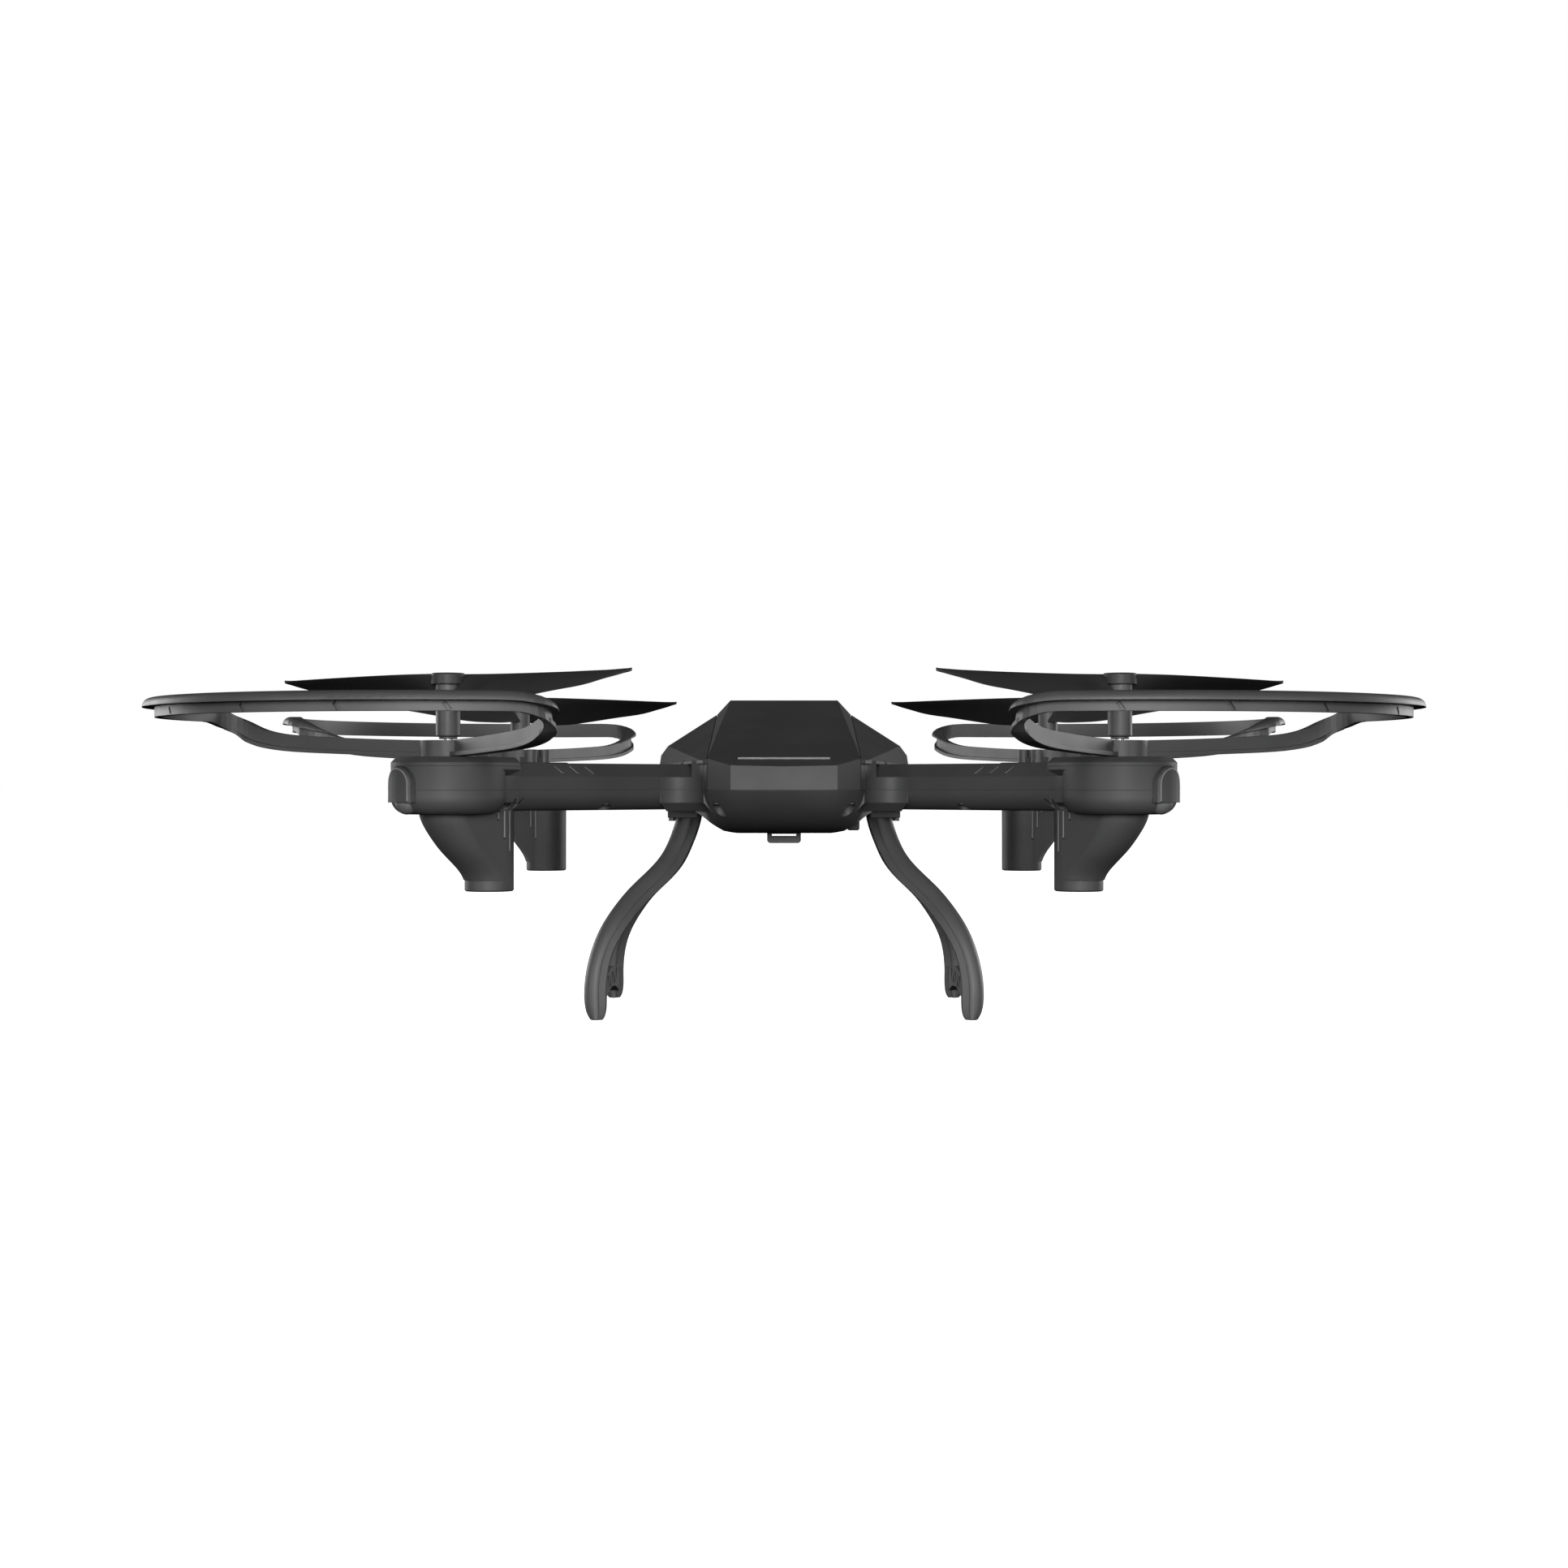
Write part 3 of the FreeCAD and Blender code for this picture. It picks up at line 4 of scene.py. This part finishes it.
import bpy
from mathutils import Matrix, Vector


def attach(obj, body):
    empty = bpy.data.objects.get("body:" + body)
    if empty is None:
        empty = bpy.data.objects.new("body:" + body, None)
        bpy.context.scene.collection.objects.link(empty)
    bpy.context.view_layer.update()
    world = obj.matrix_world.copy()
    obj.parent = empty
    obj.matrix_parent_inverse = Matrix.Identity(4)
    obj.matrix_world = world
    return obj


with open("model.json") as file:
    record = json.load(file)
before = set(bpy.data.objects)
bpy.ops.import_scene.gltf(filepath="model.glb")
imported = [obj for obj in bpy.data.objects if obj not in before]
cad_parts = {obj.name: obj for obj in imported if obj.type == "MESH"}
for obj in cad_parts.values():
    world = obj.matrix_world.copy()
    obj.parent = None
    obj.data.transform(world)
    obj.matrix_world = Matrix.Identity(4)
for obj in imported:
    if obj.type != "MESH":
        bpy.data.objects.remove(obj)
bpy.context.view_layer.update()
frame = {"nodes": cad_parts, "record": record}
nodes = frame["nodes"]
record = frame["record"]

MM = 0.001

# ---------------------------------------------------------------- camera, lamps and edges (metres)
CAMERA_PLACE = (0.0, -0.605, 0.05506)
LENS_MM = 56.37
SENSOR_MM = 36.0
LAMP_TARGET = (0, 0, 0.055)
# name, place, diameter and watts
LAMPS = [
    ("key", (0.0, -2.2, 0.42), 0.9, 52),
    ("left_key", (-1.9, -1.7, 0.4), 0.9, 20),
    ("right_key", (1.9, -1.7, 0.4), 0.9, 20),
    ("left_fill", (-2.0, 1.6, 0.4), 1.2, 30),
    ("right_fill", (2.0, 1.6, 0.4), 1.2, 30),
    ("top_fill", (0.0, 0.9, 2.2), 1.2, 0.8),
]
FLOOR_SIDE = 60
MOULD_EDGE = 0.00022    # radius of the soft edges that moulded parts have

# ---------------------------------------------------------------- painted highlight lines (millimetres)
AIRFRAME = "airframe"
DIAGONAL = math.sqrt(0.5)
# signs of x and y that mirror the front-left corner to each corner
CORNERS = {"fl": (1, 1), "fr": (-1, 1), "rl": (1, -1), "rr": (-1, -1)}
MOTOR_OUT = 91.71       # distance of a motor axis from the middle, along its arm
SHAFT_OUT = 102.95      # distance of a propeller shaft
LINES_IN_ROW = 3
LINE_HALF_WIDTH = 0.17
LINE_DEPTH = 0.5
LINE_PROUD = 0.05
LINE_STEPS = 7          # stations along each line

RIDGE_OUT = 75.9        # middle of the outermost ridge line, out along the arm
RIDGE_PITCH = 4.4
RIDGE_Z = 58.2
RIDGE_REACH = 0.85      # how far a line runs out and up from its middle
RIDGE_PROBE = 0.5       # its surface is found this far to either side
RIDGE_SIGHT = (16, 0)   # aside places where its sight lines start and end

BELLY_X = -61.8         # middle of the outermost belly line
BELLY_PITCH = 1.3
BELLY_Z = 50.1
BELLY_REACH = 1.0
BELLY_PROBE = 0.35
BELLY_SIGHT = (-95, -50)  # y places where its sight lines start and end

POD_GROOVES = ((72, 47.1), (90, 43.0), (108, 40.0))  # degrees from the outward side, and lower end
POD_FOOT_GAP = 0.3      # a line starts this far above the lower end of its groove
POD_TOP_Z = 49.2
POD_PROBE = 0.42
POD_SIGHT = (12, 1)     # distances from the motor axis where its sight lines start and end

CAP_RADIUS = 13.8       # light cap surface, measured from the shaft
CAP_HALF_WIDTH = 3.35   # half width of the rim line on the cap
CAP_FOOT_Z = 51.4
CAP_ARCH_Z = 55.0
CAP_ARCH_STEPS = 12
CAP_PROBE = 0.2


# ---------------------------------------------------------------- material building blocks

class Nodes:
    """Small helper that adds nodes to one material and links them."""

    def __init__(self, name):
        self.material = bpy.data.materials.new(name)
        self.material.use_nodes = True
        self.tree = self.material.node_tree
        self.shader = self.tree.nodes["Principled BSDF"]
        self.place = self.add("ShaderNodeTexCoord").outputs["Object"]

    def add(self, kind, **values):
        node = self.tree.nodes.new(kind)
        for key, value in values.items():
            setattr(node, key, value)
        return node

    def link(self, source, target):
        self.tree.links.new(source, target)

    def noise(self, scale, detail=3.0, stretch=(1, 1, 1)):
        mapping = self.add("ShaderNodeMapping")
        mapping.inputs["Scale"].default_value = stretch
        self.link(self.place, mapping.inputs["Vector"])
        noise = self.add("ShaderNodeTexNoise")
        noise.inputs["Scale"].default_value = scale
        noise.inputs["Detail"].default_value = detail
        self.link(mapping.outputs["Vector"], noise.inputs["Vector"])
        return noise.outputs["Fac"]

    def ramp(self, source, stops):
        ramp = self.add("ShaderNodeValToRGB")
        ramp.color_ramp.elements[0].position = stops[0][0]
        ramp.color_ramp.elements[0].color = (*stops[0][1], 1)
        ramp.color_ramp.elements[1].position = stops[-1][0]
        ramp.color_ramp.elements[1].color = (*stops[-1][1], 1)
        for position, color in stops[1:-1]:
            ramp.color_ramp.elements.new(position).color = (*color, 1)
        self.link(source, ramp.inputs["Fac"])
        return ramp.outputs["Color"]

    def spread(self, source, low, high):
        """The 0 to 1 source carried to the range low to high."""
        span = self.add("ShaderNodeMapRange")
        span.inputs["To Min"].default_value = low
        span.inputs["To Max"].default_value = high
        self.link(source, span.inputs["Value"])
        return span.outputs["Result"]

    def color(self, source):
        self.link(source, self.shader.inputs["Base Color"])

    def roughness(self, source, low, high):
        self.link(self.spread(source, low, high), self.shader.inputs["Roughness"])

    def bump(self, source, strength, distance, edge=0.0):
        """Surface relief from the source, on edges rounded by the radius edge."""
        bump = self.add("ShaderNodeBump")
        bump.inputs["Strength"].default_value = strength
        bump.inputs["Distance"].default_value = distance
        self.link(source, bump.inputs["Height"])
        if edge:
            soft = self.add("ShaderNodeBevel", samples=4)
            soft.inputs["Radius"].default_value = edge
            self.link(soft.outputs["Normal"], bump.inputs["Normal"])
        self.link(bump.outputs["Normal"], self.shader.inputs["Normal"])


def shade(tone, factor):
    """The tone made lighter or darker by the factor."""
    return tuple(c * factor for c in tone)


def moulded(name, tone, rough, grain_scale, grain_depth, gloss=0.5):
    """Coloured moulded plastic: fine spark-eroded grain, faint flow marks and handling wear."""
    m = Nodes(name)
    flow = m.noise(55, 2.0, (1, 1, 0.35))
    grain = m.noise(grain_scale, 2.0)
    m.color(m.ramp(flow, [(0.3, shade(tone, 0.88)), (0.55, tone), (0.8, shade(tone, 1.14))]))
    m.roughness(m.noise(140, 4.0), rough - 0.06, rough + 0.06)
    m.bump(grain, 0.35, grain_depth, MOULD_EDGE)
    m.shader.inputs["Specular IOR Level"].default_value = gloss
    return m.material


def metal(name, tone, rough, stretch, scratch_scale=900):
    """Metal with fine tool marks drawn out along one direction."""
    m = Nodes(name)
    marks = m.noise(scratch_scale, 3.0, stretch)
    m.color(m.ramp(marks, [(0.3, shade(tone, 0.82)), (0.7, tone)]))
    m.roughness(marks, rough - 0.08, rough + 0.1)
    m.bump(marks, 0.2, 0.00002)
    m.shader.inputs["Metallic"].default_value = 1.0
    return m.material


def smoked_lens():
    """Grey lamp window with a slightly uneven satin surface."""
    m = Nodes("smoked_lens")
    m.color(m.ramp(m.noise(300, 2.0), [(0.3, (0.075, 0.076, 0.078)), (0.7, (0.095, 0.096, 0.098))]))
    m.roughness(m.noise(500, 2.0), 0.42, 0.52)
    return m.material


def solder_mask():
    """Green board with a faint woven glass pattern and speckled pads."""
    m = Nodes("solder_mask")
    weave = m.add("ShaderNodeTexWave")
    weave.inputs["Scale"].default_value = 900
    m.link(m.place, weave.inputs["Vector"])
    m.color(m.ramp(weave.outputs["Fac"], [(0.2, (0.010, 0.075, 0.030)), (0.8, (0.018, 0.12, 0.045))]))
    m.roughness(m.noise(700, 2.0), 0.3, 0.45)
    return m.material


def foil_wrap():
    """Creased silver foil."""
    m = Nodes("foil_wrap")
    crease = m.noise(420, 5.0, (1, 0.4, 1))
    m.color(m.ramp(crease, [(0.3, (0.40, 0.42, 0.46)), (0.7, (0.56, 0.58, 0.62))]))
    m.roughness(crease, 0.25, 0.42)
    m.bump(crease, 0.5, 0.0001)
    m.shader.inputs["Metallic"].default_value = 0.6
    return m.material


def finish_materials():
    """One material per slot of the record."""
    return {
        "body": moulded("body_plastic", (0.041, 0.041, 0.042), 0.58, 2600, 0.00003, 0.4),
        "guard": moulded("guard_plastic", (0.045, 0.045, 0.046), 0.52, 3200, 0.00002),
        "skid": moulded("skid_plastic", (0.052, 0.052, 0.053), 0.54, 3200, 0.00002),
        # painted shade: the propeller tone is set darker than the body's to match the shaded undersides of
        # the blades
        "propeller": moulded("propeller_plastic", (0.026, 0.026, 0.027), 0.50, 3600, 0.00001, 0.3),
        "lens": smoked_lens(),
        "gear": moulded("natural_nylon", (0.72, 0.70, 0.63), 0.45, 2400, 0.00002),
        "steel": metal("ground_steel", (0.60, 0.60, 0.61), 0.28, (1, 1, 12)),
        "bearing": metal("polished_bearing", (0.55, 0.55, 0.57), 0.2, (1, 1, 8)),
        "motor": metal("drawn_can", (0.50, 0.50, 0.52), 0.32, (8, 8, 1)),
        "brass": metal("turned_brass", (0.72, 0.53, 0.25), 0.27, (1, 1, 14)),
        "screw": moulded("black_oxide", (0.05, 0.05, 0.052), 0.4, 4200, 0.00001, 0.7),
        "board": solder_mask(),
        "chip": moulded("chip_body", (0.022, 0.022, 0.024), 0.5, 5000, 0.00001),
        "battery_wrap": foil_wrap(),
        "port": metal("plated_shell", (0.70, 0.70, 0.71), 0.2, (10, 1, 1)),
    }


def dress(materials):
    """Gives each CAD node the finish of its slot, and the belly door a paler shade of the body's."""
    door = moulded("door_plastic", (0.085, 0.085, 0.086), 0.56, 2600, 0.00003, 0.4)
    for part in record["subparts"]:
        mesh = nodes[part["node"]].data
        mesh.materials.clear()
        mesh.materials.append(door if part["node"] == "battery_door" else materials[part["material_slot"]])


# ---------------------------------------------------------------- painted highlight lines

def corner_point(out, aside, z, signs):
    """Point in metres from millimetres out along an arm, aside towards its near flank, and up."""
    x = (aside - out) * DIAGONAL * signs[0]
    y = -(aside + out) * DIAGONAL * signs[1]
    return Vector((x, y, z)) * MM


def surface_point(hosts, start, end):
    """First place on any of the hosts met on the way from start to end, or None."""
    places = []
    for host in hosts:
        to_local = host.matrix_world.inverted()
        a, b = to_local @ start, to_local @ end
        hit, place, _, _ = host.ray_cast(a, (b - a).normalized(), distance=(b - a).length)
        if hit:
            places.append(host.matrix_world @ place)
    return min(places, key=lambda place: (place - start).length) if places else None


def line_across(hosts, places, signs):
    """Stations (left, right, inward) of a line on the hosts.

    Each place holds two sight lines: where the left and right one start, then where they end."""
    stations = []
    for left, right, target_left, target_right in places:
        starts = [corner_point(*p, signs) for p in (left, right)]
        ends = [corner_point(*p, signs) for p in (target_left, target_right)]
        hits = [surface_point(hosts, a, b) for a, b in zip(starts, ends)]
        if None not in hits:
            stations.append((hits[0], hits[1], (ends[0] - starts[0]).normalized()))
    return stations


def add_bar(vertices, faces, stations):
    """Closed thin bar through the stations, slightly proud of the surface."""
    first = len(vertices)
    for left, right, inward in stations:
        middle = (left + right) / 2
        side = (right - left).normalized() * LINE_HALF_WIDTH * MM
        low, high = inward * LINE_DEPTH * MM, inward * -LINE_PROUD * MM
        vertices += [middle - side + high, middle + side + high, middle + side + low, middle - side + low]
    for i in range(len(stations) - 1):
        a = first + 4 * i
        for k in range(4):
            j = (k + 1) % 4
            faces.append((a + k, a + j, a + 4 + j, a + 4 + k))
    last = first + 4 * (len(stations) - 1)
    faces.append((first + 3, first + 2, first + 1, first))
    faces.append((last, last + 1, last + 2, last + 3))


def line_piece(name, rows, material):
    """One piece on the airframe made of a bar through each row of stations."""
    vertices, faces = [], []
    for stations in rows:
        if len(stations) > 1:
            add_bar(vertices, faces, stations)
    mesh = bpy.data.meshes.new(name)
    mesh.from_pydata(vertices, [], faces)
    mesh.materials.append(material)
    piece = bpy.data.objects.new(name, mesh)
    bpy.context.scene.collection.objects.link(piece)
    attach(piece, AIRFRAME)


def steps(low, high):
    """Evenly spaced values from low to high, one for each station of a line."""
    return [low + (high - low) * i / (LINE_STEPS - 1) for i in range(LINE_STEPS)]


def ridge_line(hosts, out, signs):
    """Line over one slanted groove in the ridge of an arm, out being the distance of its middle."""
    places = []
    for t in steps(-RIDGE_REACH, RIDGE_REACH):
        u, h = out + t, RIDGE_Z + t
        places.append([(u + side * RIDGE_PROBE, aside, h) for aside in RIDGE_SIGHT for side in (1, -1)])
    return line_across(hosts, places, signs)


def belly_line(hosts, x, signs):
    """Slanted line low on the front of the arm beside the pod, x being its middle."""
    places = []
    for t in steps(-BELLY_REACH, BELLY_REACH):
        places.append([((-side - y) * DIAGONAL, (side - y) * DIAGONAL, BELLY_Z + t)
                       for y in BELLY_SIGHT for side in (x + t - BELLY_PROBE, x + t + BELLY_PROBE)])
    return line_across(hosts, places, signs)


def pod_line(hosts, degrees, low, high, signs):
    """Upright line over one cooling groove of a motor pod."""
    turn = math.radians(degrees)
    radial = (math.cos(turn), math.sin(turn))
    across = (-radial[1] * POD_PROBE, radial[0] * POD_PROBE)

    def at(radius, side, z):
        return (MOTOR_OUT + radial[0] * radius + across[0] * side, radial[1] * radius + across[1] * side, z)

    places = [[at(radius, side, z) for radius in POD_SIGHT for side in (-1, 1)] for z in steps(low, high)]
    return line_across(hosts, places, signs)


def cap_rim(signs):
    """Stations of the raised rim that follows the arch of a light cap."""
    arch = [(-CAP_HALF_WIDTH, CAP_FOOT_Z), (-CAP_HALF_WIDTH, CAP_ARCH_Z)]
    for i in range(1, CAP_ARCH_STEPS):
        turn = math.pi * (1 - i / CAP_ARCH_STEPS)
        arch.append((CAP_HALF_WIDTH * math.cos(turn), CAP_ARCH_Z + CAP_HALF_WIDTH * math.sin(turn)))
    arch += [(CAP_HALF_WIDTH, CAP_ARCH_Z), (CAP_HALF_WIDTH, CAP_FOOT_Z)]
    stations = []
    for i, (side, z) in enumerate(arch):
        before, after = arch[max(i - 1, 0)], arch[min(i + 1, len(arch) - 1)]
        run = math.hypot(after[0] - before[0], after[1] - before[1])
        normal = ((after[1] - before[1]) / run, (before[0] - after[0]) / run)
        ends = []
        for way in (-CAP_PROBE, CAP_PROBE):
            lateral = side + normal[0] * way
            turn = lateral / CAP_RADIUS
            ends.append(corner_point(SHAFT_OUT + CAP_RADIUS * math.cos(turn), CAP_RADIUS * math.sin(turn),
                                     z + normal[1] * way, signs))
        outer = corner_point(SHAFT_OUT + 1, 0, z, signs)
        inward = (corner_point(SHAFT_OUT, 0, z, signs) - outer).normalized()
        stations.append((ends[0], ends[1], inward))
    return stations


def painted_highlight_lines():
    """Lighter lines in the grooves of arms and pods and around the light caps, as painted highlights."""
    # painted highlight: a plastic lighter than the body's, so the grooves and cap rims show as lit lines
    material = moulded("painted_highlight_plastic", (0.16, 0.16, 0.162), 0.5, 3200, 0.00001)
    for corner, signs in CORNERS.items():
        pod = nodes["motor_pod_" + corner]
        ridge = [ridge_line([nodes["upper_shell"]], RIDGE_OUT - RIDGE_PITCH * i, signs)
                 for i in range(LINES_IN_ROW)]
        belly = [belly_line([nodes["lower_shell"], pod], BELLY_X + BELLY_PITCH * i, signs)
                 for i in range(LINES_IN_ROW)]
        flank = [pod_line([pod], side * angle, low + POD_FOOT_GAP, POD_TOP_Z, signs)
                 for side in (-1, 1) for angle, low in POD_GROOVES]
        line_piece("ridge_lines_" + corner, ridge, material)
        line_piece("belly_lines_" + corner, belly, material)
        line_piece("pod_lines_" + corner, flank, material)
        line_piece("cap_rim_" + corner, [cap_rim(signs)], material)


# ---------------------------------------------------------------- stage

def floor():
    """Plain pale paper floor."""
    bpy.ops.mesh.primitive_plane_add(size=FLOOR_SIDE, location=(0, 0, 0))
    plane = bpy.context.object
    plane.name = "floor"
    m = Nodes("floor_paper")
    m.color(m.ramp(m.noise(4, 2.0), [(0.3, (0.90, 0.90, 0.90)), (0.7, (0.93, 0.93, 0.93))]))
    m.shader.inputs["Roughness"].default_value = 0.9
    m.shader.inputs["Specular IOR Level"].default_value = 0.0
    m.shader.inputs["Emission Color"].default_value = (1, 1, 1, 1)
    m.shader.inputs["Emission Strength"].default_value = 1.0
    plane.data.materials.append(m.material)
    plane.visible_diffuse = False
    plane.visible_glossy = False


def area_light(name, place, size, watts):
    """Round soft lamp aimed at the aircraft."""
    data = bpy.data.lights.new(name, "AREA")
    data.shape = "DISK"
    data.size = size
    data.energy = watts
    lamp = bpy.data.objects.new(name, data)
    lamp.location = place
    lamp.rotation_euler = (Vector(LAMP_TARGET) - Vector(place)).to_track_quat("-Z", "Y").to_euler()
    bpy.context.scene.collection.objects.link(lamp)


def lights():
    for name, place, size, watts in LAMPS:
        area_light(name, place, size, watts)


def backdrop():
    """White surround that is seen but lights nothing."""
    world = bpy.data.worlds.new("studio")
    world.use_nodes = True
    sky = world.node_tree.nodes["Background"]
    sky.inputs["Color"].default_value = (1, 1, 1, 1)
    sky.inputs["Strength"].default_value = 1.0
    world.cycles_visibility.diffuse = False
    world.cycles_visibility.glossy = False
    bpy.context.scene.world = world
    bpy.context.scene.view_settings.view_transform = "Standard"


def camera():
    """Level camera in front of the nose."""
    data = bpy.data.cameras.new("camera")
    data.lens = LENS_MM
    data.sensor_width = SENSOR_MM
    data.clip_start = 0.01
    data.clip_end = 100
    seat = bpy.data.objects.new("camera", data)
    seat.location = CAMERA_PLACE
    seat.rotation_euler = (math.radians(90), 0, 0)
    bpy.context.scene.collection.objects.link(seat)
    bpy.context.scene.camera = seat


dress(finish_materials())
painted_highlight_lines()
floor()
lights()
backdrop()
camera()
